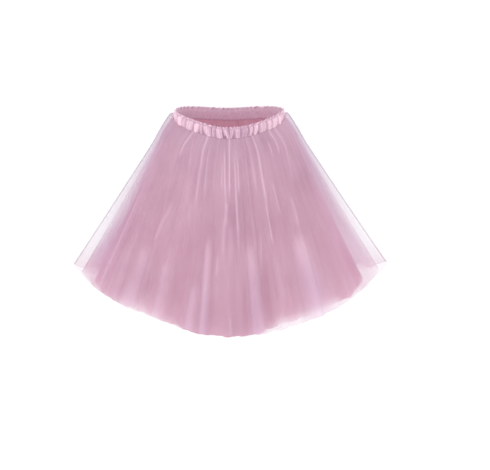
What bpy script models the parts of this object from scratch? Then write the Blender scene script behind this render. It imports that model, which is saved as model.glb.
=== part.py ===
"""Short full skirt: three layers of tulle gathered on an elastic waist.

Metres, +Z up.  The origin is the centre of the waist, at the middle of the casing's height.
The front faces -Y and the wearer's left side is +X.  The skirt hangs as it does when worn.
"""

from collections import namedtuple
import math

import bmesh
import bpy

MODEL_NAME = "tulle_skirt"

# Waist line, to the middle of the casing's wall, and how far it dips as worn
WAIST_HALF_WIDTH = 0.1070
WAIST_HALF_DEPTH = 0.0800
WAIST_DIP_FRONT = 0.0200
WAIST_DIP_BACK = 0.0120

# Casing: a ruched satin tube round the elastic, with a narrow frill above its stitches
CASING_HALF_HEIGHT = 0.0120
RUCHES = 44
RUCHE_HEIGHT = 0.0035
STEPS_PER_RUCHE = 4
FRILL_WAVE = 0.0018
SEAM_GAP = 0.0003

# Tulle
WALL = 0.0010
FLUTES = 34
STEPS_PER_FLUTE = 6
GATHER_HEIGHT = 0.0010
HEM_ROUNDNESS = 1.5
SIDE_CREST_ANGLE = math.radians(5.2)
SEAM_STRIP_ANGLE = math.radians(0.35)
SPRING_SHARE = 0.05
SIDE_SPRING = 0.0055
TOP_GAP = SEAM_GAP + 0.4 * WALL
ROW_SHARES = (0, 0.012, 0.06, 0.50, 1)

# Across the casing's wall: outward from its middle line, height, and each wave's share
CasingPoint = namedtuple("CasingPoint", "outward height ruche frill")
CASING_SECTION = (
    CasingPoint(0.0020, -0.0120, 0.0, 0.0),
    CasingPoint(0.0026, -0.0085, 0.8, 0.0),
    CasingPoint(0.0026, 0.0015, 1.0, 0.0),
    CasingPoint(0.0010, 0.0060, 0.2, 0.0),
    CasingPoint(0.0016, 0.0120, 0.0, 1.0),
    CasingPoint(0.0004, 0.0120, 0.0, 1.0),
    CasingPoint(-0.0022, 0.0060, 0.0, 0.0),
    CasingPoint(-0.0028, -0.0015, 0.0, 0.0),
    CasingPoint(-0.0024, -0.0120, 0.0, 0.0),
)

# Each layer of tulle.  inset: its gathered edge, outward from the casing's middle line.
# spring: how far it stands out just below, and SIDE_SPRING further at the sides.
# hem_width, hem_depth: half sizes of the hem before its flutes.  side_length, front_length:
# cut length below the casing.  flute: height of its flutes at the hem.  crest: how much
# further the flute at each side stands out.  shift: turns the unevenness of the flutes.
Layer = namedtuple(
    "Layer",
    "name inset spring hem_width hem_depth side_length front_length flute crest shift colour",
)
OUTER = Layer(
    "outer", 0.0020, 0.013, 0.3125, 0.2370, 0.383, 0.379, 0.0100, 0.0170, 0.0, (0.86, 0.62, 0.72)
)
MIDDLE = Layer(
    "middle", 0.0000, 0.009, 0.2965, 0.2220, 0.383, 0.375, 0.0090, 0.0115, 0.4, (0.83, 0.57, 0.68)
)
INNER = Layer(
    "inner", -0.0020, 0.005, 0.2810, 0.2070, 0.383, 0.371, 0.0080, 0.0060, 0.9, (0.80, 0.52, 0.64)
)
LAYERS = (OUTER, MIDDLE, INNER)

# Each panel runs half way round from its start, and lies on one side of the side seams
Panel = namedtuple("Panel", "start outward")
PANELS = {"front": Panel(math.pi, -1), "back": Panel(0.0, 1)}


def oval_radius(angle, half_width, half_depth, roundness):
    """Distance from the centre to an oval's edge; roundness 2 makes it an ellipse."""
    across = abs(math.cos(angle) / half_width) ** roundness
    along = abs(math.sin(angle) / half_depth) ** roundness
    return (across + along) ** (-1 / roundness)


def waist_height(angle):
    """Height of the waist line, which dips at the front and a little at the back."""
    front = max(-math.sin(angle), 0) ** 2
    back = max(math.sin(angle), 0) ** 2
    return -WAIST_DIP_FRONT * front - WAIST_DIP_BACK * back


def waist_radius(angle, outward):
    """Distance from the centre to a line that lies outward of the casing's middle line."""
    return oval_radius(angle, WAIST_HALF_WIDTH + outward, WAIST_HALF_DEPTH + outward, 2)


def ruche_wave(angle):
    """Full puffs between sharp creases, from 0 to 1, of uneven fullness."""
    puff = abs(math.sin(RUCHES * angle / 2))
    return puff * (0.8 + 0.2 * math.sin(5 * angle + 1))


def casing_location(angle, point):
    """Place of a point of the casing's section at an angle round the waist."""
    frill = point.frill * FRILL_WAVE * math.cos(RUCHES * angle / 2)
    outward = point.outward + point.ruche * RUCHE_HEIGHT * ruche_wave(angle) + frill
    radius = waist_radius(angle, outward)
    height = waist_height(angle) + point.height
    return radius * math.cos(angle), radius * math.sin(angle), height


def flute_spacing(angle):
    """Turns evenly counted flutes into unevenly spaced ones; the side seams stay put."""
    drift = 0.030 * math.sin(3 * angle) + 0.020 * math.sin(7 * angle)
    return angle + drift + 0.010 * math.sin(11 * angle)


def flute_fullness(angle, shift):
    """Uneven height of the flutes round the hem, about 1."""
    return 1 + 0.25 * math.sin(5 * angle + 0.7 + shift) + 0.20 * math.sin(9 * angle + 2.1 + 2 * shift)


def flute_fade(angle):
    """How late each flute opens on its way down: 1 opens evenly from the waist."""
    return 1.5 + 0.4 * math.sin(8 * angle + 0.5)


def side_crest(angle):
    """1 at each side seam, falling to 0 within about a flute."""
    from_seam = math.remainder(angle, math.pi)
    return math.exp(-((from_seam / SIDE_CREST_ANGLE) ** 2))


def tulle_location(layer, count_angle, share):
    """Place on a layer; share is 0 at its gathered edge and 1 at its hem."""
    angle = flute_spacing(count_angle)
    wave = math.cos(FLUTES * count_angle)
    top_radius = waist_radius(angle, layer.inset)
    hem_radius = oval_radius(angle, layer.hem_width, layer.hem_depth, HEM_ROUNDNESS)
    hem_radius += layer.crest * side_crest(count_angle)
    flute = layer.flute * flute_fullness(count_angle, layer.shift) * wave
    length = layer.side_length + (layer.front_length - layer.side_length) * math.sin(angle) ** 2
    drop = math.sqrt(length**2 - (hem_radius + flute - top_radius) ** 2)
    radius = top_radius + (hem_radius - top_radius) * share
    spring = layer.spring + SIDE_SPRING * math.cos(angle) ** 2
    radius += spring * (1 - math.exp(-((share / SPRING_SHARE) ** 2))) * (1 - share)
    radius += GATHER_HEIGHT * wave * (1 - share) + flute * share ** flute_fade(count_angle)
    top_height = waist_height(angle) - CASING_HALF_HEIGHT - TOP_GAP
    return radius * math.cos(angle), radius * math.sin(angle), top_height - drop * share


def panel_angles(start):
    """Angles of a panel's columns, with a narrow flat strip along each side seam."""
    steps = FLUTES * STEPS_PER_FLUTE // 2
    even = [math.pi * step / steps for step in range(1, steps)]
    return [start + angle for angle in (0, SEAM_STRIP_ANGLE, *even, math.pi - SEAM_STRIP_ANGLE, math.pi)]


def make_material(name, colour, roughness):
    material = bpy.data.materials.new(name)
    material.use_nodes = True
    shader = material.node_tree.nodes["Principled BSDF"]
    shader.inputs["Base Color"].default_value = (*colour, 1)
    shader.inputs["Roughness"].default_value = roughness
    shader.inputs["Metallic"].default_value = 0
    return material


def finish_part(part, material, collection, mount):
    """Shade a part smooth, give it its cloth and place it under the waist's empty."""
    part.data.name = part.name
    part.data.shade_smooth()
    part.data.materials.append(material)
    part.parent = mount
    for holder in list(part.users_collection):
        holder.objects.unlink(part)
    collection.objects.link(part)


def make_casing(collection, mount):
    """A ring whose every slice is moved onto the casing's section."""
    points = len(CASING_SECTION)
    slices = RUCHES * STEPS_PER_RUCHE
    bpy.ops.mesh.primitive_torus_add(major_segments=slices, minor_segments=points)
    casing = bpy.context.object
    casing.name = "waist_casing"
    for vertex in casing.data.vertices:
        slice_number, point_number = divmod(vertex.index, points)
        angle = 2 * math.pi * slice_number / slices
        vertex.co = casing_location(angle, CASING_SECTION[point_number])
    satin = make_material("ruched_satin", (0.84, 0.58, 0.69), 0.35)
    finish_part(casing, satin, collection, mount)


def make_panel(layer, side, collection, mount):
    """Half a layer: an open sheet moved into its flutes, then thickened to the wall."""
    name = f"tulle_{layer.name}_{side}"
    angles = panel_angles(PANELS[side].start)
    columns = len(angles) - 1
    rows = len(ROW_SHARES) - 1
    seam_columns = (0, 1, columns - 1, columns)
    form = bmesh.new()
    bmesh.ops.create_grid(form, x_segments=columns, y_segments=rows, size=0.5)
    for vertex in form.verts:
        column = round((vertex.co.x + 0.5) * columns)
        row = round((0.5 - vertex.co.y) * rows)
        vertex.co = tulle_location(layer, angles[column], ROW_SHARES[row])
        if column in seam_columns:
            vertex.co.y += PANELS[side].outward * SEAM_GAP / 2
    sheet = bpy.data.meshes.new(name)
    form.to_mesh(sheet)
    form.free()
    panel = bpy.data.objects.new(name, sheet)
    finish_part(panel, make_material(name, layer.colour, 0.8), collection, mount)
    wall = panel.modifiers.new("wall", "SOLIDIFY")
    wall.thickness = WALL
    wall.offset = 0


def main():
    for leftover in list(bpy.data.objects):
        bpy.data.objects.remove(leftover, do_unlink=True)
    collection = bpy.data.collections.new(MODEL_NAME)
    bpy.context.scene.collection.children.link(collection)
    mount = bpy.data.objects.new("waist_centre", None)
    collection.objects.link(mount)
    make_casing(collection, mount)
    for layer in LAYERS:
        for side in PANELS:
            make_panel(layer, side, collection, mount)


main()
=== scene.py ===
from collections import namedtuple
import math

import bpy
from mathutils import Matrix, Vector
import numpy as np


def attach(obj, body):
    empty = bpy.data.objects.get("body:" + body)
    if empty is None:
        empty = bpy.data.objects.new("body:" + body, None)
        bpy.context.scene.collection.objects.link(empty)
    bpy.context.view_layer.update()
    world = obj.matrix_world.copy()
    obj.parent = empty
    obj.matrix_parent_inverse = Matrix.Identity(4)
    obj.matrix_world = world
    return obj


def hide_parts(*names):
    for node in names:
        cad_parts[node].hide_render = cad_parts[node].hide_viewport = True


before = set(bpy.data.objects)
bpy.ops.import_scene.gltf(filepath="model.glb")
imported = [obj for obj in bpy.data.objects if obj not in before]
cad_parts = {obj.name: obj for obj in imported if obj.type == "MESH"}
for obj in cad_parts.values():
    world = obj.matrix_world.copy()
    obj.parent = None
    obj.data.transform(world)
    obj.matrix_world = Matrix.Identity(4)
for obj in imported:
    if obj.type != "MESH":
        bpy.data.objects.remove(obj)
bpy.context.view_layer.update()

# ---------------------------------------------------------------- sizes shared with the solids
WAIST_HALF_WIDTH = 0.1070
WAIST_HALF_DEPTH = 0.0800
WAIST_DIP_FRONT = 0.0200
WAIST_DIP_BACK = 0.0120
CASING_HALF_HEIGHT = 0.0120
RUCHES = 44
TOP_GAP = 0.0007
FLUTES = 34
HEM_ROUNDNESS = 1.5
SIDE_CREST_ANGLE = math.radians(5.2)
SPRING_SHARE = 0.05
SIDE_SPRING = 0.0055

# Each panel runs half way round from its start, and lies outward of the side seams.
# towards_left: the sign of a turn from its middle towards +X, the wearer's left.
Panel = namedtuple("Panel", "start middle outward towards_left")
PANELS = {
    "front": Panel(math.pi, -math.pi / 2, -1, 1),
    "back": Panel(0.0, math.pi / 2, 1, -1),
}

# ---------------------------------------------------------------- the sheets of tulle
# A share is how far down a layer a point lies: 0 at its gathered edge and 1 at its hem
STEPS_PER_FLUTE = 30
PANEL_COLUMNS = FLUTES // 2 * STEPS_PER_FLUTE
PANEL_ROWS = 60
ROW_CROWDING = 1.5

# Seam allowances, turned in flat at the side seams
SEAM_GAP = 0.00006
SEAM_WIDTH = 0.0038
SEAM_COLUMNS = 2
# Painted shade on the turned seam allowances, on the same scale as the folds' painted light
SEAM_PAINTED_SHADE = -0.4

# The cloth keeps a share of the solids' even flutes, and its hem lifts where one stands out
FLUTE_SOFTNESS = 0.4
FLUTE_LIFT = 0.6
SIDE_FLUTE_LIFT = 0.9

# Fine gathers under the casing: widths in spacings, lengths in shares of the way down
GATHERS = 84
GATHER_TOP = 0.0005
GATHER_DEPTH = 0.0010
GATHER_FULL_SHARE = 0.06
GATHER_JITTER = 0.4
GATHER_WIDTHS = (0.20, 0.42)
SHORTEST_GATHER = 0.06
LONGEST_GATHER = 0.56
GATHER_STRENGTHS = (0.3, 1.2)
GATHER_LEAN = 0.03
GATHER_PLIES = 0.25

# Ripples of the net between its folds, counted round the skirt
RIPPLES = 71
FINE_RIPPLES = 103
FINE_RIPPLE_STRENGTH = 0.7
RIPPLE_DEPTH = 0.0007

# Folds rise and die away over a share of their length, and one flank is steeper
FOLD_HEIGHT = 0.0018
FOLD_OPENING_SHARE = 0.05
FOLD_RISE = 0.25
FOLD_FALL = 0.35
FOLD_STEEPNESS = 1.5
FOLD_DRIFT = 0.015
GAP_RISE = 0.6

# The hems: where they lie level, where they hang lower or are trimmed, and how rough they
# are.  At the left corner each hangs lower by LEFT_CORNER_DROP times its level_longer.
FRONT_DROP = 0.0045
LEVEL_HEM_PLACE = math.radians(-95)
LEVEL_HEM_ANGLE = math.radians(25)
# Painted shade: the net's colour darkens towards the hem where the hems lie level
LEVEL_HEM_SHADE = 0.55
LEVEL_HEM_SHADE_SHARES = (0.55, 0.90)
CORNER_HEM_PLACES = (math.radians(-172), math.radians(-9))
CORNER_HEM_ANGLES = (math.radians(8), math.radians(11))
LEFT_CORNER_DROP = 2.1
SIDE_OUT_ANGLE = math.radians(16)
TRIM_PLACE = math.radians(-136)
TRIM_ANGLE = math.radians(28)
HEM_NOTCH = 0.0009
HEM_FADE_SHARE = 0.05
HEM_FADE_KEPT = 0.85
HEM_PLIES_SHARES = (0.8, 1.0)

# Beside the side seams the net is drawn apart at first and bunches up lower down
SIDE_THIN_SHARES = (0.0, 0.12)
HEM_FILL_SHARES = (0.72, 0.98)
SIDE_STRIP_ANGLE = math.radians(12)
SIDE_STRIP_SHARES = (0.50, 0.88)
FEWEST_PLIES = 0.05

# What the tulle's colour follows: painted light, lighter where it stands out and darker where it
# lies back, and how cool it looks
FOLD_PAINTED_LIGHT = 0.55
GATHER_PAINTED_LIGHT = 0.2
COOL_ANGLE = math.radians(12)
SIDE_COOL = 0.9
SIDE_COOL_LOST = 0.7
SIDE_COOL_SHARES = (0.80, 0.95)
HEM_COOL = 0.3
HEM_COOL_SHARES = (0.55, 0.85)

# The stiff net puffs out where it is sewn on, and at the sides it puffs up beside the casing
TUCK = 0.0028
TUCK_SHARE = 0.006
PUFF_SHARE = 0.020
PUFF_START_SHARE = 0.003
PUFF_END_SHARE = 0.05
PUFF_HEIGHT = 0.0020
PUFF_OUT = 0.0040
SIDE_PUFF_HEIGHT = 0.0200
SIDE_PUFF_OUT = 0.0005
SIDE_PUFF_ANGLE = math.radians(20)
PUFF_THIN_SHARE = 0.08

# Each layer of tulle.  The first ten values, up to shift, are the solids' own.
# puff: how much of the top puff it shares, and puff_thinning: share of the net lost there.
# cut_width: width of each flat panel.  ridge_plies, trough_plies: net gathered up in a fold
# that stands out, or that lies back.  side_thin: share of the net drawn away from the side
# seams, within thin_degrees, and hem_fill: how much of it comes back at the hem.
# side_hem_plies: net bunched up beside the lower side seams.  hem_plies: net added at the hem.
# hem_fade: how much the last of the net opens out, or closes up if below 0.  seam_plies: of
# its seam allowances.  right_longer, level_longer: how much further it hangs towards -X, and
# in the part of the front where the hems lie level.  trim: how much shorter it hangs between
# those two.  right_out, left_out: how much further its hem stands out towards -X and +X.
# hem_wave: unevenness of the cut.
Layer = namedtuple(
    "Layer",
    "name inset spring hem_width hem_depth side_length front_length flute crest shift"
    " cut_width puff puff_thinning ridge_plies trough_plies side_thin thin_degrees hem_fill"
    " side_hem_plies hem_plies hem_fade seam_plies right_longer level_longer trim"
    " right_out left_out hem_wave seed",
)
LAYERS = (
    Layer(
        "outer", 0.0020, 0.013, 0.3125, 0.2370, 0.383, 0.379, 0.0100, 0.0170, 0.0,
        cut_width=0.90, puff=1.0, puff_thinning=0.45, ridge_plies=1.15, trough_plies=-0.6,
        side_thin=0.55, thin_degrees=4.2, hem_fill=0.3, side_hem_plies=0.0, hem_plies=0.4,
        hem_fade=-0.3, seam_plies=1.0, right_longer=0.0, level_longer=0.0, trim=0.012,
        right_out=0.0, left_out=0.0, hem_wave=0.0006, seed=11,
    ),
    Layer(
        "middle", 0.0000, 0.009, 0.2965, 0.2220, 0.383, 0.375, 0.0090, 0.0115, 0.4,
        cut_width=0.84, puff=0.60, puff_thinning=0.0, ridge_plies=0.8, trough_plies=0.0,
        side_thin=0.88, thin_degrees=4.8, hem_fill=0.15, side_hem_plies=3.2, hem_plies=0.0,
        hem_fade=0.7, seam_plies=0.05, right_longer=0.006, level_longer=0.003, trim=0.009,
        right_out=0.005, left_out=0.005, hem_wave=0.0010, seed=23,
    ),
    Layer(
        "inner", -0.0020, 0.005, 0.2810, 0.2070, 0.383, 0.371, 0.0080, 0.0060, 0.9,
        cut_width=0.78, puff=0.0, puff_thinning=0.0, ridge_plies=0.0, trough_plies=0.5,
        side_thin=0.25, thin_degrees=3.0, hem_fill=0.5, side_hem_plies=0.0, hem_plies=0.0,
        hem_fade=0.8, seam_plies=0.03, right_longer=0.012, level_longer=0.006, trim=0.009,
        right_out=0.0, left_out=-0.006, hem_wave=0.0015, seed=37,
    ),
)

# Each layer's colours: deep, its pink with painted shade in its troughs, and light, its pink
# with painted highlights on its ridges; cool where it is a single ply against the light.
# cover: how much of the view one flat ply of its net takes.
Net = namedtuple("Net", "deep light cool cover")
NETS = {
    "outer": Net("BF99B1", "E9C7DA", "D3BAD6", 0.25),
    "middle": Net("D0A2B7", "E7C0D2", "D5AAC7", 0.36),
    "inner": Net("D19BB0", "E1B2C3", "DBABC2", 0.93),
}
NET_PITCH = 0.0024
NET_TURNS = (math.radians(0), math.radians(60), math.radians(120))

# Folds that stand out.  place: degrees from the middle of the panel towards +X, at the top of
# the fold.  lean: degrees that it drifts by its foot.  start, end: share of the way down.
# width: degrees to each side.  plies: net gathered up in a ridge, or below 0 in a trough.
Fold = namedtuple("Fold", "place lean start end width plies")
FOLDS = {
    "front": (
        Fold(-77, -1.5, 0.15, 1.00, 1.5, -1.2),
        Fold(-73.5, -1.0, 0.35, 1.00, 1.8, 0.5),
        Fold(-69, -1.0, 0.42, 1.00, 1.6, -0.6),
        Fold(-64.5, -1.5, 0.50, 1.00, 2.2, 0.6),
        Fold(-55, -1.0, 0.62, 1.00, 4.5, 0.9),
        Fold(-52, 2.0, 0.22, 0.48, 1.3, 0.4),
        Fold(-47, -3.0, 0.00, 0.16, 1.6, 1.0),
        Fold(-47, 0.0, 0.78, 0.94, 0.9, -0.7),
        Fold(-45, -7.0, 0.36, 0.66, 1.5, 0.7),
        Fold(-41, 3.0, 0.02, 0.20, 1.2, 0.5),
        Fold(-40, 0.0, 0.66, 1.00, 3.4, 1.0),
        Fold(-38, -1.0, 0.58, 0.78, 2.6, 0.4),
        Fold(-32, -1.0, 0.68, 1.00, 2.4, -0.9),
        Fold(-36, 1.0, 0.23, 0.38, 1.3, 0.4),
        Fold(-31, 0.0, 0.34, 0.48, 1.0, 0.5),
        Fold(-31, 0.0, 0.50, 0.63, 0.8, 0.6),
        Fold(-28.5, 1.5, 0.00, 0.42, 1.5, 1.0),
        Fold(-25.5, 0.0, 0.52, 0.78, 1.6, -0.6),
        Fold(-20.5, -0.5, 0.74, 1.00, 3.0, 1.0),
        Fold(-22.5, 1.5, 0.02, 0.34, 1.1, 1.0),
        Fold(-14.5, 0.8, 0.46, 1.00, 2.4, 1.2),
        Fold(-10.6, 0.0, 0.45, 1.00, 1.3, -0.5),
        Fold(-8, 0.0, 0.58, 0.72, 0.8, 0.6),
        Fold(-7.5, 0.5, 0.10, 0.27, 0.9, 0.7),
        Fold(-6, 3.0, 0.02, 0.37, 1.1, 1.1),
        Fold(-3.4, -1.0, 0.38, 0.64, 1.6, 0.6),
        Fold(-3, 0.0, 0.30, 0.46, 1.8, 1.0),
        Fold(0, 0.0, 0.00, 0.33, 1.2, 1.2),
        Fold(0.5, 0.0, 0.42, 0.66, 2.8, 0.6),
        Fold(0, 0.5, 0.88, 1.00, 0.8, 0.7),
        Fold(5, 0.5, 0.03, 0.64, 1.2, 1.2),
        Fold(8.5, -1.0, 0.07, 0.30, 1.1, 1.0),
        Fold(8, 0.0, 0.70, 1.00, 1.0, -0.7),
        Fold(13.5, 0.5, 0.48, 1.00, 4.0, 1.1),
        Fold(21, 2.0, 0.00, 0.30, 1.2, 0.8),
        Fold(22, -4.0, 0.46, 0.78, 0.8, 0.8),
        Fold(17.5, 0.0, 0.40, 0.60, 1.7, 0.5),
        Fold(22.5, 0.5, 0.60, 1.00, 3.0, -0.6),
        Fold(29.5, -0.5, 0.00, 0.42, 1.5, 1.1),
        Fold(29, 0.0, 0.32, 0.60, 1.3, 1.2),
        Fold(30, 0.0, 0.60, 0.92, 3.0, 0.4),
        Fold(34.5, 0.5, 0.70, 1.00, 1.3, -0.8),
        Fold(37, 1.0, 0.23, 0.44, 1.0, 0.8),
        Fold(44, -1.0, 0.04, 0.13, 1.0, 0.9),
        Fold(47, 1.0, 0.50, 1.00, 6.5, 1.5),
        Fold(50, 0.0, 0.32, 0.54, 1.9, 0.8),
        Fold(51.5, -1.5, 0.00, 0.13, 1.4, 1.1),
        Fold(60, -5.0, 0.00, 0.32, 1.8, 0.6),
        Fold(73, 1.0, 0.66, 1.00, 1.5, -1.2),
        Fold(80, 0.5, 0.30, 0.90, 1.3, -0.9),
    ),
    "back": (
        Fold(-78, 1.0, 0.20, 0.95, 1.5, -1.0),
        Fold(-66, 2.0, 0.55, 0.95, 4.0, 0.5),
        Fold(-58, -2.0, 0.02, 0.22, 1.3, 0.9),
        Fold(-49, 4.0, 0.30, 0.62, 1.4, 1.1),
        Fold(-44, 0.0, 0.76, 1.00, 4.5, 0.6),
        Fold(-38, 1.0, 0.00, 0.34, 1.3, 1.6),
        Fold(-33, 0.0, 0.82, 1.00, 2.8, -0.7),
        Fold(-27, 2.0, 0.05, 0.26, 1.0, 0.7),
        Fold(-24, -1.0, 0.44, 0.86, 2.2, 1.0),
        Fold(-16, 1.0, 0.00, 0.30, 1.2, 1.3),
        Fold(-12, 0.0, 0.52, 0.74, 0.9, 0.7),
        Fold(-6, -1.0, 0.02, 0.56, 1.2, 1.4),
        Fold(-2, 0.0, 0.80, 1.00, 3.6, -0.5),
        Fold(3, 2.0, 0.08, 0.36, 1.0, 1.0),
        Fold(8, 0.0, 0.44, 0.98, 4.2, 0.6),
        Fold(14, -1.0, 0.00, 0.42, 1.3, 1.6),
        Fold(20, 2.0, 0.38, 0.66, 1.1, 1.1),
        Fold(26, 1.0, 0.02, 0.24, 1.0, 0.8),
        Fold(31, -2.0, 0.60, 1.00, 3.4, 0.6),
        Fold(37, 0.0, 0.00, 0.30, 1.4, 1.4),
        Fold(42, 1.0, 0.80, 1.00, 2.6, -0.6),
        Fold(47, 3.0, 0.26, 0.54, 1.2, 0.9),
        Fold(55, 0.0, 0.03, 0.20, 1.2, 0.8),
        Fold(60, 2.0, 0.52, 0.96, 4.4, 0.5),
        Fold(75, -1.0, 0.20, 1.00, 1.5, -1.1),
    ),
}

# Places where the layers open out and let light through.  lost: share of the net gone.
Gap = namedtuple("Gap", "layers place lean start end width lost")
GAPS = {
    "front": (
        Gap("middle inner", -83, 0.0, 0.45, 0.90, 3.0, 0.3),
        Gap("middle inner", -60, 0.0, 0.84, 1.10, 12.0, 0.6),
        Gap("middle inner", 31, 0.0, 0.90, 1.10, 8.0, 0.75),
        Gap("middle inner", 50, 0.0, 0.88, 1.10, 10.0, 0.75),
        Gap("middle inner", 63, 0.0, 0.92, 1.10, 6.0, 0.6),
        Gap("outer", 88, 0.0, 0.15, 1.10, 7.0, 0.2),
        Gap("middle", 81, 3.0, 0.58, 1.00, 2.4, 0.5),
    ),
    "back": (
        Gap("middle inner", -80, 0.0, 0.60, 1.10, 3.0, 0.3),
        Gap("middle inner", -20, 0.0, 0.92, 1.10, 9.0, 0.5),
        Gap("middle inner", 34, 0.0, 0.90, 1.10, 8.0, 0.5),
        Gap("outer", 88, 0.0, 0.15, 1.10, 7.0, 0.2),
        Gap("middle", 80, 5.0, 0.60, 1.00, 3.6, 0.75),
    ),
}

# ---------------------------------------------------------------- the casing
STEPS_PER_RUCHE = 14
CASING_CUT_WIDTH = 0.80
CASING_CUT_HEIGHT = 0.056
MERGE_DISTANCE = 0.00001

# Ruches: creases at uneven spacing, with a puff of its own fullness and lean between two
RUCHE_SEED = 5
RUCHE_JITTER = 0.32
RUCHE_FULLNESS = (0.55, 1.2)
RUCHE_LEAN = 0.3
RUCHE_DEPTH = 0.0034
FLATTEST_RUCHE = 0.75
SIDE_RUCHE_FULLNESS = 0.42
PUFF_ROUNDNESS = 0.65

# A second, smaller crease in each puff, deeper in the flatter ones
DENT_FULLNESS = 1.1
DEEPEST_DENT = 0.4
DENT_PLACE = 0.55
DENT_LEAN = 0.3
DENT_WIDTH = 0.10

WRINKLE_DEPTH = 0.0006
FINE_WRINKLE_STRENGTH = 0.8
FRILL_DEPTH = 0.0026
FINE_FRILL_STRENGTH = 0.55
SCALLOP_DEPTH = 0.0026
SCALLOP_FULLNESS = 0.8
FRILL_EDGE_DEPTH = 0.0019

# Painted light and shade on the satin, apart from the painted light of its puffs' own fullness:
# lighter at the sides and on the wrinkles' crests, darker in the groove below the frill, light
# and dark along the frill's waves; the inside keeps a plain middle tone
SIDE_SHINE = 0.32
PUFF_SHADE = -0.06
WRINKLE_SHINE = 0.14
FRILL_SHADE = 0.30
FRILL_SHINE = 0.35
FRILL_WAVE_SHINE = 0.6
INSIDE_SHADE = 0.5

STITCHES = 168
STITCH_LENGTH = 0.0026
STITCH_THICKNESS = 0.0005
STITCH_POINT = 8
STITCH_TURN = 0.004

# Across the casing from its foot outside, over the frill and down inside: outward from the
# middle line, height, and its share of the ruches, of the frill's waves and of the scallops
CasingPoint = namedtuple("CasingPoint", "outward height ruche frill scallop")
CASING_SECTION = (
    CasingPoint(0.0028, -0.0108, 0.20, 0.0, 1.0),
    CasingPoint(0.0034, -0.0120, 0.40, 0.0, 1.0),
    CasingPoint(0.0034, -0.0105, 0.75, 0.0, 0.8),
    CasingPoint(0.0028, -0.0080, 1.00, 0.0, 0.4),
    CasingPoint(0.0030, -0.0040, 1.08, 0.0, 0.0),
    CasingPoint(0.0030, 0.0000, 1.05, 0.0, 0.0),
    CasingPoint(0.0027, 0.0035, 0.90, 0.0, 0.0),
    CasingPoint(0.0019, 0.0058, 0.50, 0.1, 0.0),
    CasingPoint(0.0010, 0.0070, 0.15, 0.2, 0.0),
    CasingPoint(0.0012, 0.0080, 0.12, 0.5, 0.0),
    CasingPoint(0.0016, 0.0098, 0.10, 0.8, 0.0),
    CasingPoint(0.0015, 0.0116, 0.00, 1.0, 0.6),
    CasingPoint(0.0009, 0.0120, 0.00, 1.0, 1.0),
    CasingPoint(0.0003, 0.0116, 0.00, 1.0, 0.6),
    CasingPoint(-0.0004, 0.0098, 0.00, 0.7, 0.0),
    CasingPoint(-0.0018, 0.0068, 0.00, 0.1, 0.0),
    CasingPoint(-0.0025, 0.0030, -0.20, 0.0, 0.0),
    CasingPoint(-0.0027, -0.0020, -0.25, 0.0, 0.0),
    CasingPoint(-0.0030, -0.0080, -0.10, 0.0, 0.0),
    CasingPoint(-0.0033, -0.0150, 0.00, 0.0, 0.0),
)

# ---------------------------------------------------------------- camera, floor and light
CAMERA_DISTANCE = 2.0
CAMERA_ELEVATION = math.radians(16)
CAMERA_CENTRE = Vector((0, 0, -0.17))
CAMERA_AIM = Vector((0.032, 0, -0.257))
CAMERA_LENS_MM = 70.6
CAMERA_SENSOR_MM = 36
FLOOR_HEIGHT = -1.04
FLOOR_SIZE = 80.0
FLOOR_GLOW = 0.12
SURROUND_STRENGTH = 1.0
LAYERS_SEEN_THROUGH = 64
Softbox = namedtuple("Softbox", "name place power size")
SOFTBOXES = (
    Softbox("key softbox", Vector((-1.6, -2.6, 1.6)), 18, 1.6),
    Softbox("fill softbox", Vector((2.2, -1.6, 0.6)), 6, 1.6),
)


def srgb(code):
    """An sRGB hex colour as linear RGBA."""
    values = [int(code[place:place + 2], 16) / 255 for place in (0, 2, 4)]
    linear = [v / 12.92 if v <= 0.04045 else ((v + 0.055) / 1.055) ** 2.4 for v in values]
    return (*linear, 1)


def turn_towards(thing, place):
    """Point a camera or a light at a place."""
    thing.rotation_euler = (place - thing.location).to_track_quat("-Z", "Y").to_euler()


def make_camera():
    """The skirt is seen from a little above its waist."""
    data = bpy.data.cameras.new("camera")
    data.lens = CAMERA_LENS_MM
    data.sensor_width = CAMERA_SENSOR_MM
    camera = bpy.data.objects.new("camera", data)
    back = Vector((0, -math.cos(CAMERA_ELEVATION), math.sin(CAMERA_ELEVATION)))
    camera.location = CAMERA_CENTRE + back * CAMERA_DISTANCE
    turn_towards(camera, CAMERA_AIM)
    bpy.context.scene.collection.objects.link(camera)
    bpy.context.scene.camera = camera


def make_lights():
    """An even white surround, and square softboxes that face the middle of the skirt."""
    world = bpy.data.worlds.new("white studio")
    world.use_nodes = True
    surround = world.node_tree.nodes["Background"]
    surround.inputs["Color"].default_value = (1, 1, 1, 1)
    surround.inputs["Strength"].default_value = SURROUND_STRENGTH
    bpy.context.scene.world = world
    for softbox in SOFTBOXES:
        data = bpy.data.lights.new(softbox.name, "AREA")
        data.energy = softbox.power
        data.size = softbox.size
        light = bpy.data.objects.new(softbox.name, data)
        light.location = softbox.place
        turn_towards(light, CAMERA_CENTRE)
        bpy.context.scene.collection.objects.link(light)


def make_floor():
    """White paper far below, lit from below so that it stays white."""
    bpy.ops.object.select_all(action="DESELECT")
    bpy.ops.mesh.primitive_plane_add(size=FLOOR_SIZE, location=(0, 0, FLOOR_HEIGHT))
    floor = bpy.context.object
    floor.name = "floor"
    paper = bpy.data.materials.new("matt white studio paper, lit from below")
    paper.use_nodes = True
    shader = paper.node_tree.nodes["Principled BSDF"]
    shader.inputs["Base Color"].default_value = srgb("F8F8F8")
    shader.inputs["Roughness"].default_value = 0.9
    shader.inputs["Emission Color"].default_value = (1, 1, 1, 1)
    shader.inputs["Emission Strength"].default_value = FLOOR_GLOW
    floor.data.materials.append(paper)


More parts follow.
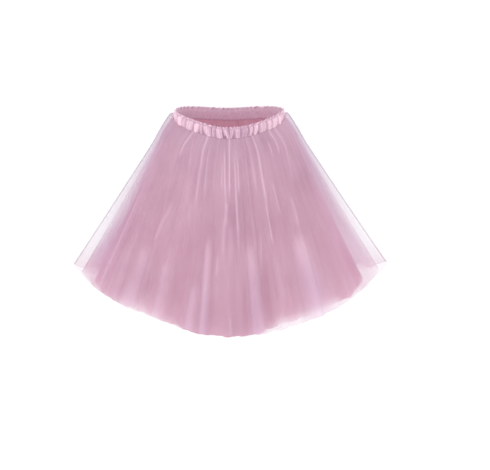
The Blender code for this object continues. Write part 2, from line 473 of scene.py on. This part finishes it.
# ---------------------------------------------------------------- materials
def add_node(tree, kind, settings=None, links=None, output=0):
    """Add a node and give one of its outputs.

    settings set its properties or sockets, and links feed its sockets.
    """
    node = tree.nodes.new(kind)
    for name, value in (settings or {}).items():
        if isinstance(name, int) or name in node.inputs:
            node.inputs[name].default_value = value
        else:
            setattr(node, name, value)
    for name, source in (links or {}).items():
        tree.links.new(source, node.inputs[name])
    return node.outputs[output]


def start_material(name):
    """A new material: it, its node tree and its shader."""
    material = bpy.data.materials.new(name)
    material.use_nodes = True
    return material, material.node_tree, material.node_tree.nodes["Principled BSDF"]


def tulle_material(name, net):
    """Nylon tulle: warp-knitted hexagonal net, dyed pink and stiffened.

    The eye sees a haze that thickens where the net is gathered, with a faint dry sheen.  Its
    colour carries painted highlights on the folds that stand out and painted shade in those that
    lie back.  A single ply against the light looks cooler.
    """
    material, tree, shader = start_material(name)
    cloth = add_node(tree, "ShaderNodeUVMap", {"uv_map": "cloth"})
    place = add_node(tree, "ShaderNodeTexCoord", output="Object")
    plies, ridge, cool, seam = (
        add_node(tree, "ShaderNodeAttribute", {"attribute_name": value}, output="Fac")
        for value in ("plies", "ridge", "cool", "seam")
    )

    # Three sets of waves at 60 degrees leave the hexagons of the net between them.  Its holes
    # are about 1 mm across, and are drawn 2.4 mm apart so that they show.
    step = 2 * math.pi / NET_PITCH
    waves = []
    for turn in NET_TURNS:
        ramp = {"operation": "DOT_PRODUCT", 1: (step * math.cos(turn), step * math.sin(turn), 0)}
        phase = add_node(tree, "ShaderNodeVectorMath", ramp, {0: cloth}, "Value")
        waves.append(add_node(tree, "ShaderNodeMath", {"operation": "COSINE"}, {0: phase}))
    add = {"operation": "ADD"}
    holes = add_node(tree, "ShaderNodeMath", add, {0: waves[0], 1: waves[1]})
    holes = add_node(tree, "ShaderNodeMath", add, {0: holes, 1: waves[2]})
    limits = {"From Min": 3.0, "From Max": -1.5, "To Min": 0.6, "To Max": 1.25}
    threads = add_node(tree, "ShaderNodeMapRange", limits, {0: holes})

    # Each ply leaves the same share of the light that reaches it
    plies = add_node(tree, "ShaderNodeMath", {"operation": "MULTIPLY"}, {0: plies, 1: threads})
    one_ply = {"operation": "POWER", 0: 1 - net.cover}
    clear = add_node(tree, "ShaderNodeMath", one_ply, {1: plies})
    covered = add_node(tree, "ShaderNodeMath", {"operation": "SUBTRACT", 0: 1.0}, {1: clear})
    tree.links.new(covered, shader.inputs["Alpha"])

    # Long faint streaks run down the cloth, 33 mm apart, and broad faint patches lie across it
    stretch = {"Scale": (30, 3.0, 1)}
    stretched = add_node(tree, "ShaderNodeMapping", stretch, {"Vector": cloth})
    noise = {"Scale": 1.0, "Detail": 3.0, "Roughness": 0.5}
    streaks = add_node(tree, "ShaderNodeTexNoise", noise, {"Vector": stretched})
    noise = {"Scale": 12.0, "Detail": 2.0, "Roughness": 0.5}
    patches = add_node(tree, "ShaderNodeTexNoise", noise, {"Vector": place})
    tone = add_node(tree, "ShaderNodeMath", add, {0: streaks, 1: patches})
    tone = add_node(tree, "ShaderNodeMath", {"operation": "SUBTRACT", 1: 0.5}, {0: tone})
    # Painted light on the folds: lighter where the net stands out, painted shade where it lies
    # back
    lift = {"operation": "MULTIPLY_ADD", 1: 0.55}
    tone = add_node(tree, "ShaderNodeMath", lift, {0: ridge, 2: tone})

    # The turned edges of the seams are seen edge on, and look greyer
    shades = {"data_type": "RGBA", 6: srgb(net.deep), 7: srgb(net.light)}
    colour = add_node(tree, "ShaderNodeMix", shades, {0: tone}, 2)
    shades = {"data_type": "RGBA", 7: srgb(net.cool)}
    colour = add_node(tree, "ShaderNodeMix", shades, {0: cool, 6: colour}, 2)
    shades = {"data_type": "RGBA", 7: srgb("ABA6AF")}
    colour = add_node(tree, "ShaderNodeMix", shades, {0: seam, 6: colour}, 2)
    tree.links.new(colour, shader.inputs["Base Color"])
    shader.inputs["Roughness"].default_value = 0.62
    shader.inputs["IOR"].default_value = 1.53
    shader.inputs["Specular IOR Level"].default_value = 0.1
    shader.inputs["Sheen Weight"].default_value = 0.04
    shader.inputs["Sheen Roughness"].default_value = 0.4
    shader.inputs["Sheen Tint"].default_value = srgb("FBE6F1")
    return material


def satin_material():
    """Polyester satin ribbon: a smooth warp-faced weave, so its puffs shine softly.  Its colour
    also carries painted highlights on the puffs and painted shade in the creases.
    """
    material, tree, shader = start_material("pink polyester satin, woven")
    cloth = add_node(tree, "ShaderNodeUVMap", {"uv_map": "cloth"})
    place = add_node(tree, "ShaderNodeTexCoord", output="Object")
    puffs = add_node(tree, "ShaderNodeAttribute", {"attribute_name": "ridge"}, output="Fac")

    # Fine crinkles about 4 mm apart, and painted light: highlights on the puffs, painted shade in
    # the creases
    noise = {"Scale": 240.0, "Detail": 3.0, "Roughness": 0.5}
    crinkle = add_node(tree, "ShaderNodeTexNoise", noise, {"Vector": place})
    half = {"operation": "MULTIPLY_ADD", 1: 0.5, 2: -0.25}
    tone = add_node(tree, "ShaderNodeMath", half, {0: crinkle})
    most = {"operation": "MULTIPLY_ADD", 1: 0.9}
    tone = add_node(tree, "ShaderNodeMath", most, {0: puffs, 2: tone})
    shades = {"data_type": "RGBA", 6: srgb("A67A96"), 7: srgb("F6D0E1")}
    colour = add_node(tree, "ShaderNodeMix", shades, {0: tone}, 2)
    tree.links.new(colour, shader.inputs["Base Color"])

    # Warp threads 0.15 mm apart, drawn 0.6 mm apart so that they show
    waves = {"Scale": 530.0, "Distortion": 0.6, "Detail": 1.0}
    weave = add_node(tree, "ShaderNodeTexWave", waves, {"Vector": cloth}, "Fac")
    thread = {"operation": "MULTIPLY_ADD", 1: 0.15}
    relief = add_node(tree, "ShaderNodeMath", thread, {0: weave, 2: crinkle})
    depth = {"Strength": 0.4, "Distance": 0.0006}
    bump = add_node(tree, "ShaderNodeBump", depth, {"Height": relief})
    tree.links.new(bump, shader.inputs["Normal"])
    shader.inputs["Roughness"].default_value = 0.40
    shader.inputs["IOR"].default_value = 1.57
    shader.inputs["Anisotropic"].default_value = 0.4
    shader.inputs["Sheen Weight"].default_value = 0.2
    return material


def thread_material():
    """Spun polyester sewing thread: matt, twisted, a little deeper than the satin."""
    material, tree, shader = start_material("pink polyester thread, spun")
    place = add_node(tree, "ShaderNodeTexCoord", output="Object")

    # A twist every 0.5 mm or so
    noise = {"Scale": 1800.0, "Detail": 2.0, "Roughness": 0.5}
    twist = add_node(tree, "ShaderNodeTexNoise", noise, {"Vector": place})
    shades = {"data_type": "RGBA", 6: srgb("CFA3BC"), 7: srgb("E8C4D6")}
    colour = add_node(tree, "ShaderNodeMix", shades, {0: twist}, 2)
    tree.links.new(colour, shader.inputs["Base Color"])
    shader.inputs["Roughness"].default_value = 0.7
    return material


# ---------------------------------------------------------------- the skirt's shape
def oval_radius(angle, half_width, half_depth, roundness):
    """Distance from the centre to an oval's edge; roundness 2 makes it an ellipse."""
    across = np.abs(np.cos(angle) / half_width) ** roundness
    along = np.abs(np.sin(angle) / half_depth) ** roundness
    return (across + along) ** (-1 / roundness)


def waist_height(angle):
    """Height of the waist line, which dips at the front and a little at the back."""
    front = np.maximum(-np.sin(angle), 0) ** 2
    back = np.maximum(np.sin(angle), 0) ** 2
    return -WAIST_DIP_FRONT * front - WAIST_DIP_BACK * back


def waist_radius(angle, outward):
    """Distance from the centre to a line that lies outward of the casing's middle line."""
    return oval_radius(angle, WAIST_HALF_WIDTH + outward, WAIST_HALF_DEPTH + outward, 2)


# The numbers in the next three are the solids' own
def flute_spacing(angle):
    """Turns evenly counted flutes into unevenly spaced ones; the side seams stay put."""
    drift = 0.030 * np.sin(3 * angle) + 0.020 * np.sin(7 * angle)
    return angle + drift + 0.010 * np.sin(11 * angle)


def flute_fullness(angle, shift):
    """Uneven height of the flutes round the hem, about 1."""
    return 1 + 0.25 * np.sin(5 * angle + 0.7 + shift) + 0.20 * np.sin(9 * angle + 2.1 + 2 * shift)


def flute_fade(angle):
    """How late each flute opens on its way down: 1 opens evenly from the waist."""
    return 1.5 + 0.4 * np.sin(8 * angle + 0.5)


def angle_between(angle, other):
    """The smallest turn from one angle to another."""
    return np.remainder(angle - other + math.pi, 2 * math.pi) - math.pi


def bell(distance, width, power=2):
    """1 in the middle, falling to 0 within about twice the width; flatter for a higher power."""
    return np.exp(-((distance / width) ** power))


def near_side(angle, width):
    """A bell round each side seam."""
    from_seam = np.remainder(angle + math.pi / 2, math.pi) - math.pi / 2
    return bell(from_seam, width)


def rise(value, start=0.0, end=1.0):
    """From 0 at the start to 1 at the end, levelling out at both."""
    clipped = np.clip((value - start) / (end - start), 0, 1)
    return clipped * clipped * (3 - 2 * clipped)


def level_hem(angle):
    """1 where the three hems lie level in the front, falling to 0 beside it."""
    return bell(angle_between(angle, LEVEL_HEM_PLACE), LEVEL_HEM_ANGLE, 4)


def corner_hems(angle):
    """1 beside each side seam in the front, where the hems also lie nearly level."""
    total = 0
    for place, width in zip(CORNER_HEM_PLACES, CORNER_HEM_ANGLES):
        total = total + bell(angle_between(angle, place), width)
    return total


def gather_ridges(layer, count, share):
    """Fine gathers under the casing: each runs down its own length and dies away."""
    draw = np.random.default_rng(layer.seed)
    spacing = 2 * math.pi / GATHERS
    ridges = np.zeros((share.shape[0], count.shape[1]))
    for number in range(GATHERS):
        centre = spacing * (number + draw.uniform(-GATHER_JITTER, GATHER_JITTER))
        width = spacing * draw.uniform(*GATHER_WIDTHS)
        # Most gathers are short, and a few run half way down
        length = SHORTEST_GATHER + (LONGEST_GATHER - SHORTEST_GATHER) * draw.random() ** 3
        strength = draw.uniform(*GATHER_STRENGTHS)
        lean = draw.normal(0, GATHER_LEAN)
        across = angle_between(count, centre + lean * share)
        ridges += strength * bell(across, width) * bell(share, length)
    return ridges - ridges.mean(axis=1, keepdims=True)


def share_past(share, line):
    """How far each point lies down a fold's or gap's own length, from 0 to 1."""
    return np.clip((share - line.start) / (line.end - line.start), 0, 1)


def angle_from(line, side, angle, past, drift=0.0):
    """The turn from a fold's or gap's middle, in its own widths."""
    place = line.place + line.lean * past + drift
    centre = PANELS[side].middle + PANELS[side].towards_left * np.radians(place)
    return angle_between(angle, centre) / math.radians(line.width)


def along_fold(fold, share):
    """From 0 to 1 and back to 0 down a fold, whose end stays up where it meets an edge."""
    past = share_past(share, fold)
    top = 1.0 if fold.start <= 0 else rise(past, 0, FOLD_RISE)
    foot = 1.0 if fold.end >= 1 else rise(1 - past, 0, FOLD_FALL)
    return np.where((share >= fold.start) & (share <= fold.end), top * foot, 0)


def fold_ridges(layer, side, angle, share):
    """The listed folds, each a ridge or trough with one sharp flank and one soft flank."""
    ridges = np.zeros((share.shape[0], angle.shape[1]))
    for number, fold in enumerate(FOLDS[side]):
        drift = FOLD_DRIFT * layer.seed * math.sin(1.7 * number)
        across = angle_from(fold, side, angle, share_past(share, fold), drift)
        sharp = 1 if number % 2 else -1
        across = np.where(across * sharp > 0, across * FOLD_STEEPNESS, across)
        ridges += fold.plies * bell(across, 1) * along_fold(fold, share)
    return ridges


def gap_share(layer, side, angle, share):
    """Share of the net that is left beside a layer's gaps."""
    kept = np.ones((share.shape[0], angle.shape[1]))
    for gap in GAPS[side]:
        if layer.name in gap.layers:
            past = share_past(share, gap)
            across = angle_from(gap, side, angle, past)
            kept *= 1 - gap.lost * bell(across, 1) * rise(past, 0, GAP_RISE)
    return kept


def cut_length(layer, count, angle):
    """Length of the net from the casing to its uneven hem."""
    length = layer.side_length + (layer.front_length - layer.side_length) * np.sin(angle) ** 2
    length = length + layer.right_longer * (1 - np.cos(angle)) / 2
    length = length + FRONT_DROP * np.maximum(-np.sin(angle), 0) ** 6
    left_corner = LEFT_CORNER_DROP * corner_hems(angle) * (np.cos(angle) > 0)
    length = length + layer.level_longer * (level_hem(angle) + left_corner)
    length = length - layer.trim * bell(angle_between(angle, TRIM_PLACE), TRIM_ANGLE)
    length = length + layer.hem_wave * np.sin(13 * count + layer.seed) * np.sin(5 * count + 1)
    return length + HEM_NOTCH * np.sin(67 * count + layer.seed) * np.sin(19 * count + 2)


def ripples(layer, count, share):
    """Two sets of small uneven waves, the finer of which slants."""
    broad = np.sin(RIPPLES * count + layer.seed + 1.5 * np.sin(6 * count))
    slant = 2 * np.sin(5 * count + 1) + 3 * share
    return broad + FINE_RIPPLE_STRENGTH * np.sin(FINE_RIPPLES * count + 2 * layer.seed + slant)


def sheet_form(layer, side, count, share):
    """Places of a layer's points, and its angles, folds and gathers there."""
    angle = flute_spacing(count)
    seam_free = 1 - near_side(count, SIDE_CREST_ANGLE) ** 0.5
    folds = fold_ridges(layer, side, angle, share) * seam_free
    gathers = gather_ridges(layer, count, share) * seam_free
    flute = FLUTE_SOFTNESS * layer.flute * flute_fullness(count, layer.shift)
    flute = flute * np.cos(FLUTES * count)

    top_radius = waist_radius(angle, layer.inset)
    hem_radius = oval_radius(angle, layer.hem_width, layer.hem_depth, HEM_ROUNDNESS)
    hem_radius = hem_radius + layer.crest * near_side(count, SIDE_CREST_ANGLE)
    side_out = np.where(np.cos(angle) < 0, layer.right_out, layer.left_out)
    hem_radius = hem_radius + side_out * near_side(angle, SIDE_OUT_ANGLE)

    # Out from the middle: flare, spring below the casing, puff, then the cloth's own relief
    radius = top_radius + (hem_radius - top_radius) * share
    spring = layer.spring + SIDE_SPRING * np.cos(angle) ** 2
    radius = radius + spring * (1 - bell(share, SPRING_SHARE)) * (1 - share)
    side_puff = near_side(angle, SIDE_PUFF_ANGLE)
    out = (1 - np.exp(-share / PUFF_START_SHARE)) * np.exp(-share / PUFF_END_SHARE)
    radius = radius + layer.puff * (PUFF_OUT + SIDE_PUFF_OUT * side_puff) * out
    radius = radius + flute * share ** flute_fade(count)
    radius = radius + FOLD_HEIGHT * folds * np.minimum(share / FOLD_OPENING_SHARE, 1)
    opened = 1 - bell(share, GATHER_FULL_SHARE)
    radius = radius + (GATHER_TOP + (GATHER_DEPTH - GATHER_TOP) * opened) * gathers
    body = np.sin(math.pi * share) ** 0.6 * seam_free
    radius = radius + RIPPLE_DEPTH * ripples(layer, count, share) * body

    # Down from the casing: where a flute stands out its hem lifts, so that the hem stays level
    lift = (FLUTE_LIFT + SIDE_FLUTE_LIFT * np.cos(angle) ** 2) * flute
    drop = np.sqrt(cut_length(layer, count, angle) ** 2 - (hem_radius + lift - top_radius) ** 2)
    height = waist_height(angle) - CASING_HALF_HEIGHT - TOP_GAP - drop * share
    height = height + TUCK * bell(share, TUCK_SHARE)
    up = share / PUFF_SHARE * np.exp(1 - share / PUFF_SHARE)
    height = height + layer.puff * (PUFF_HEIGHT + SIDE_PUFF_HEIGHT * side_puff) * up
    places = np.stack([radius * np.cos(angle), radius * np.sin(angle), height], -1)
    return places, angle, folds, gathers


def net_plies(layer, side, places, angle, share, folds, gathers):
    """Plies of net at each point: cut width over gathered width, and more in the folds."""
    width = np.linalg.norm(np.diff(places, axis=1), axis=2).sum(axis=1, keepdims=True)
    plies = np.maximum(layer.cut_width / width, 1) + GATHER_PLIES * np.clip(gathers, -1, 2)
    plies = plies + layer.ridge_plies * np.maximum(folds, 0)
    plies = plies + layer.trough_plies * np.maximum(-folds, 0)
    plies = plies * gap_share(layer, side, angle, share)

    # More of it bunches up at the wearer's right than at the left
    towards_right = 0.65 - 0.35 * np.cos(angle)
    bunched = near_side(angle, SIDE_STRIP_ANGLE) * rise(share, *SIDE_STRIP_SHARES)
    plies = plies + layer.side_hem_plies * towards_right * bunched
    thin = near_side(angle, math.radians(layer.thin_degrees)) * rise(share, *SIDE_THIN_SHARES)
    thin = thin * (1 - layer.hem_fill * rise(share, *HEM_FILL_SHARES))
    plies = plies * (1 - layer.side_thin * thin)
    puff = near_side(angle, SIDE_PUFF_ANGLE) * bell(share, PUFF_THIN_SHARE)
    plies = plies * (1 - layer.puff_thinning * puff)

    # The cut edge, where only the level parts of the hem keep most of their net
    plies = plies + layer.hem_plies * rise(share, *HEM_PLIES_SHARES)
    kept = np.minimum(level_hem(angle) + corner_hems(angle), 1)
    fade = layer.hem_fade * (1 - HEM_FADE_KEPT * kept)
    return np.maximum(plies * (1 - fade * rise(share, 1 - HEM_FADE_SHARE)), FEWEST_PLIES)


def tulle_tones(angle, share, folds, gathers):
    """Painted light, from -1 to 1: lighter where the net stands out, painted shade where it lies
    back and towards the level hem; and how cool it looks, from 0 to 1.
    """
    ridge = FOLD_PAINTED_LIGHT * folds + GATHER_PAINTED_LIGHT * np.clip(gathers, -0.3, 0.6)
    ridge = ridge - LEVEL_HEM_SHADE * level_hem(angle) * rise(share, *LEVEL_HEM_SHADE_SHARES)
    cool = SIDE_COOL * near_side(angle, COOL_ANGLE)
    cool = cool * (1 - SIDE_COOL_LOST * rise(share, *SIDE_COOL_SHARES))
    cool = cool + HEM_COOL * np.maximum(folds, 0) * rise(share, *HEM_COOL_SHARES)
    return np.clip(ridge, -1, 1), np.minimum(cool, 1)


def add_seams(layer, places, values):
    """Turn the seam allowances inward at both ends of a panel, flat on the other panel's."""
    ends = []
    for edge in (places[:, :1], places[:, -1:]):
        turned = np.repeat(edge, SEAM_COLUMNS, axis=1)
        inward = SEAM_WIDTH * np.arange(1, SEAM_COLUMNS + 1) / SEAM_COLUMNS
        turned[..., 0] -= np.sign(edge[..., 0]) * inward
        ends.append(turned)
    places = np.concatenate([ends[0][:, ::-1], places, ends[1]], axis=1)
    pad = ((0, 0), (SEAM_COLUMNS, SEAM_COLUMNS))
    values = {
        "plies": np.pad(values["plies"], pad, constant_values=layer.seam_plies),
        # painted shade on the seam allowances
        "ridge": np.pad(values["ridge"], pad, constant_values=SEAM_PAINTED_SHADE),
        "cool": np.pad(values["cool"], pad, mode="edge"),
        "seam": np.pad(np.zeros(values["plies"].shape), pad, constant_values=1),
    }
    return places, values


def add_grid(name, columns, rows):
    """A flat grid, and the column and row of each of its points, from its top left corner."""
    bpy.ops.object.select_all(action="DESELECT")
    bpy.ops.mesh.primitive_grid_add(x_subdivisions=columns, y_subdivisions=rows, size=1)
    piece = bpy.context.object
    piece.name = name
    piece.data.name = name
    flat = np.empty(len(piece.data.vertices) * 3, dtype=np.float32)
    piece.data.vertices.foreach_get("co", flat)
    flat = flat.reshape(-1, 3)
    column = np.rint((flat[:, 0] + 0.5) * columns).astype(int)
    row = np.rint((0.5 - flat[:, 1]) * rows).astype(int)
    return piece, column, row


def place_points(piece, places):
    """Move the piece's points to their places in the shape."""
    piece.data.vertices.foreach_set("co", places.astype(np.float32).ravel())
    piece.data.update()


def add_values(piece, name, values):
    """A number at each point, for the material to read."""
    attribute = piece.data.attributes.new(name, "FLOAT", "POINT")
    attribute.data.foreach_set("value", values.astype(np.float32))


def set_cloth_map(piece, across, down):
    """A UV map in metres of cloth, from each point's place on the flat cut."""
    corners = np.empty(len(piece.data.loops), dtype=np.int32)
    piece.data.loops.foreach_get("vertex_index", corners)
    while piece.data.uv_layers:
        piece.data.uv_layers.remove(piece.data.uv_layers[0])
    layer = piece.data.uv_layers.new(name="cloth")
    values = np.stack([across[corners], down[corners]], -1).astype(np.float32)
    layer.data.foreach_set("uv", values.ravel())


def dress(piece, material, node):
    """Give a finished piece its material and its place in the frame."""
    piece.data.shade_smooth()
    piece.data.materials.append(material)
    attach(piece, "root")
    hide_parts(node)


def make_panel(layer, side, material):
    """One panel of net: a fine sheet on the solid's form, with its gathers, folds and seams."""
    panel = PANELS[side]
    count = panel.start + math.pi * np.arange(PANEL_COLUMNS + 1)[None, :] / PANEL_COLUMNS
    share = (np.arange(PANEL_ROWS + 1)[:, None] / PANEL_ROWS) ** ROW_CROWDING
    places, angle, folds, gathers = sheet_form(layer, side, count, share)
    places[..., 1] += panel.outward * SEAM_GAP / 2
    plies = net_plies(layer, side, places, angle, share, folds, gathers)
    # ridge carries the painted light: lighter where the net stands out, darker where it lies back
    ridge, cool = tulle_tones(angle, share, folds, gathers)
    values = {"plies": plies, "ridge": ridge, "cool": cool}
    places, values = add_seams(layer, places, values)

    columns = PANEL_COLUMNS + 2 * SEAM_COLUMNS
    piece, column, row = add_grid(f"{layer.name}_tulle_{side}", columns, PANEL_ROWS)
    place_points(piece, places[row, column])
    length = (layer.side_length + layer.front_length) / 2
    set_cloth_map(piece, layer.cut_width * column / columns, length * share[row, 0])
    for name, at_points in values.items():
        add_values(piece, name, at_points[row, column])
    dress(piece, material, f"tulle_{layer.name}_{side}")


# ---------------------------------------------------------------- the casing's shape
def ruche_pattern(angle):
    """How far each point lies from one crease to the next, and that puff's fullness and lean."""
    draw = np.random.default_rng(RUCHE_SEED)
    spacing = 2 * math.pi / RUCHES
    jitter = draw.uniform(-RUCHE_JITTER, RUCHE_JITTER, RUCHES)
    creases = spacing * (np.arange(RUCHES) + jitter)
    fullness = draw.uniform(*RUCHE_FULLNESS, RUCHES)
    lean = draw.normal(0, RUCHE_LEAN, RUCHES)
    # The ruches lie flatter at the middle of the front and back than at the sides
    fullness *= FLATTEST_RUCHE + SIDE_RUCHE_FULLNESS * np.cos(creases) ** 2
    edges = np.append(creases, creases[0] + 2 * math.pi)
    turned = np.remainder(angle - creases[0], 2 * math.pi) + creases[0]
    number = np.clip(np.searchsorted(edges, turned, side="right") - 1, 0, RUCHES - 1)
    across = (turned - edges[number]) / (edges[number + 1] - edges[number])
    return across, fullness[number], lean[number]


def casing_form(angle, outward, height, ruche, frill, scallop):
    """Places on the casing, and the painted light and shade on the satin there."""
    across, fullness, lean = ruche_pattern(angle)
    # A puff is round on top and drops steeply into the crease at each side
    bend = across + 4 * lean * (height / CASING_HALF_HEIGHT) * across * (1 - across)
    crease = bell(bend - DENT_PLACE - DENT_LEAN * lean, DENT_WIDTH)
    dent = 1 - np.clip(DENT_FULLNESS - fullness, 0, DEEPEST_DENT) * crease
    puff = np.sin(math.pi * np.clip(bend, 0, 1)) ** PUFF_ROUNDNESS * fullness * dent

    # Small slanting wrinkles on the puffs, and uneven waves along the frill
    wrinkle = np.sin(RUCHES * 3 * angle + 2 * np.sin(9 * angle) + 220 * height)
    fine = np.sin(RUCHES * 5 * angle + 3 * np.sin(7 * angle) - 340 * height)
    wrinkle = wrinkle + FINE_WRINKLE_STRENGTH * fine
    phase = RUCHES * angle + 2.5 * np.sin(5 * angle) + 1.5 * np.sin(11 * angle + 1)
    wave = np.cos(phase) * (0.6 + 0.4 * np.sin(7 * angle + 2))
    wave = wave + FINE_FRILL_STRENGTH * np.cos(2 * phase + 1)
    outward = outward + RUCHE_DEPTH * ruche * puff + FRILL_DEPTH * frill * wave
    outward = outward + WRINKLE_DEPTH * wrinkle * np.maximum(ruche, 0)

    # The foot hangs lowest below a full puff, and the frill's edge rises and falls
    foot = -SCALLOP_DEPTH * (puff - SCALLOP_FULLNESS) * (height < 0)
    notches = np.sin(2 * phase + 2 + np.sin(3 * angle)) - 1
    top = FRILL_EDGE_DEPTH * notches * (height > 0)
    level = waist_height(angle) + height + scallop * (foot + top)
    radius = waist_radius(angle, outward)
    places = np.stack([radius * np.cos(angle), radius * np.sin(angle), level], -1)

    # Painted light: puffs lighter and creases darker, lighter towards the sides, light and dark
    # along the wrinkles and the frill's waves; the inside gets a plain middle tone
    body = np.clip(2 * ruche, 0, 1)
    puffs = puff + SIDE_SHINE * np.cos(angle) ** 2 + PUFF_SHADE + WRINKLE_SHINE * wrinkle
    frills = FRILL_SHADE + FRILL_SHINE * frill + FRILL_WAVE_SHINE * frill * wave
    shade = body * puffs + (1 - body) * frills
    return places, np.where(ruche < 0, INSIDE_SHADE, shade)


def make_casing(material):
    """The satin tube over the elastic: uneven puffs between creases, and a frill above."""
    columns = RUCHES * STEPS_PER_RUCHE
    rows = 2 * (len(CASING_SECTION) - 1)
    section = np.array(CASING_SECTION)
    steps = np.arange(rows + 1) / 2
    points = [np.interp(steps, np.arange(len(section)), values)[:, None] for values in section.T]
    angle = -2 * math.pi * np.arange(columns + 1)[None, :] / columns
    places, ridge = casing_form(angle, *points)
    piece, column, row = add_grid("satin_casing", columns, rows)
    place_points(piece, places[row, column])
    set_cloth_map(piece, CASING_CUT_WIDTH * column / columns, CASING_CUT_HEIGHT * row / rows)
    # ridge: the painted light and shade on the satin
    add_values(piece, "ridge", ridge[row, column])
    # Close the ring
    bpy.ops.object.mode_set(mode="EDIT")
    bpy.ops.mesh.select_all(action="SELECT")
    bpy.ops.mesh.remove_doubles(threshold=MERGE_DISTANCE)
    bpy.ops.object.mode_set(mode="OBJECT")
    dress(piece, material, "waist_casing")


def make_stitches(material):
    """The row of stitches that holds the elastic below the frill, one stitch copied round."""
    bpy.ops.object.select_all(action="DESELECT")
    bpy.ops.mesh.primitive_uv_sphere_add(segments=8, ring_count=5, radius=0.5)
    piece = bpy.context.object
    piece.name = "casing_stitches"
    points = np.array([vertex.co for vertex in piece.data.vertices])
    faces = [tuple(polygon.vertices) for polygon in piece.data.polygons]
    line = [np.array([[value]]) for value in CASING_SECTION[STITCH_POINT]]
    angle = 2 * math.pi * (np.arange(STITCHES)[None, :] + 0.5) / STITCHES
    before, centres, after = (
        casing_form(angle + turn, *line)[0][0] for turn in (-STITCH_TURN, 0, STITCH_TURN)
    )
    ahead = after - before
    ahead /= np.linalg.norm(ahead, axis=1, keepdims=True)
    up = np.array([0, 0, 1.0])
    out = np.cross(ahead, up)
    all_points = (
        centres[:, None, :]
        + points[None, :, :1] * STITCH_LENGTH * ahead[:, None, :]
        + points[None, :, 1:2] * STITCH_THICKNESS * out[:, None, :]
        + points[None, :, 2:] * STITCH_THICKNESS * up
    ).reshape(-1, 3)
    starts = len(points) * np.arange(STITCHES)
    all_faces = [tuple(int(start) + v for v in face) for start in starts for face in faces]
    piece.data.clear_geometry()
    piece.data.from_pydata(all_points.tolist(), [], all_faces)
    piece.data.name = piece.name
    dress(piece, material, "waist_casing")


def main():
    scene = bpy.context.scene
    scene.view_settings.view_transform = "Standard"
    scene.cycles.transparent_max_bounces = LAYERS_SEEN_THROUGH
    make_camera()
    make_lights()
    make_floor()
    make_casing(satin_material())
    make_stitches(thread_material())
    nets = {
        name: tulle_material(f"pink nylon tulle, {name} layer", net) for name, net in NETS.items()
    }
    for layer in LAYERS:
        for side in PANELS:
            make_panel(layer, side, nets[layer.name])


main()
